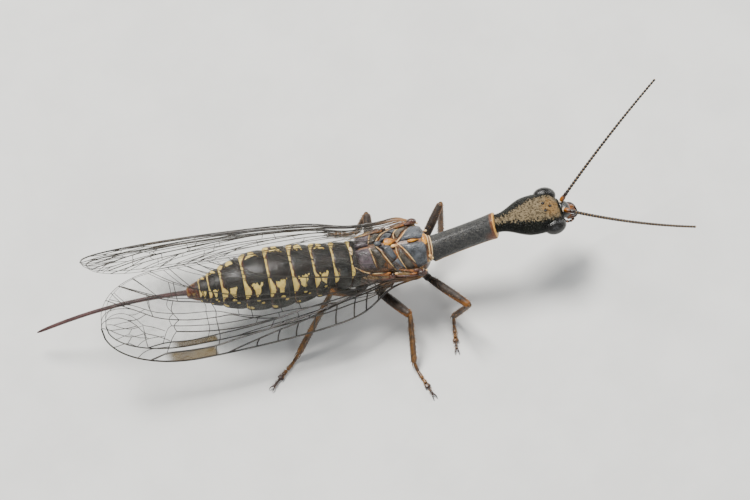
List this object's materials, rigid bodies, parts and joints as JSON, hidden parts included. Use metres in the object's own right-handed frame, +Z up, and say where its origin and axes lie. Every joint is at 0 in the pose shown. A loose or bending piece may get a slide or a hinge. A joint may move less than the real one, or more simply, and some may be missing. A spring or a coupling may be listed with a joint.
{
  "type": "snakefly",
  "caption": "Female snakefly at life size, a still insect model with a long neck, roof-folded veined wings, beaded feelers and a long egg-laying tube, standing on its feet.",
  "frame": {"origin": "on the floor under the middle of the insect's bounding box", "axes": "+X towards the insect's head, +Y to its left side, +Z up from the floor on which its soles rest"},
  "size_m": [0.0232, 0.0086, 0.0056],
  "materials": {
    "head_shell": "satin black-brown shell with a matt grey-beige band above",
    "eye_shell": "glossy grey-black",
    "mouth_shell": "amber, half gloss",
    "feeler_shell": "matt black-brown beads with pale rings",
    "neck_shield": "dark slate, finely wrinkled",
    "back_shield": "slate grey plates, satin, with orange and cream marks",
    "belly_rings": "dark brown, satin, with cream bands behind each ring",
    "egg_layer": "purplish dark brown, half matt",
    "thigh_shell": "dark brown to orange-brown, satin",
    "shin_shell": "amber with darker edges, satin",
    "foot_shell": "amber, the last joint and claws dark",
    "wing_film": "clear thin film with dark raised veins"
  },
  "bodies": {
    "root": {"head": "head_shell", "eye_left": "eye_shell", "eye_right": "eye_shell", "mouthparts": "mouth_shell", "antenna_left": "feeler_shell", "antenna_right": "feeler_shell", "prothorax": "neck_shield", "mesothorax": "back_shield", "metathorax": "back_shield", "abdomen_front": "belly_rings", "abdomen_middle": "belly_rings", "abdomen_rear": "belly_rings", "ovipositor": "egg_layer", "thigh_front_left": "thigh_shell", "thigh_front_right": "thigh_shell", "thigh_middle_left": "thigh_shell", "thigh_middle_right": "thigh_shell", "thigh_hind_left": "thigh_shell", "thigh_hind_right": "thigh_shell", "shin_front_left": "shin_shell", "shin_front_right": "shin_shell", "shin_middle_left": "shin_shell", "shin_middle_right": "shin_shell", "shin_hind_left": "shin_shell", "shin_hind_right": "shin_shell", "foot_front_left": "foot_shell", "foot_front_right": "foot_shell", "foot_middle_left": "foot_shell", "foot_middle_right": "foot_shell", "foot_hind_left": "foot_shell", "foot_hind_right": "foot_shell", "forewing_left": "wing_film", "forewing_right": "wing_film", "hindwing_left": "wing_film", "hindwing_right": "wing_film"}
  },
  "joints": []
}
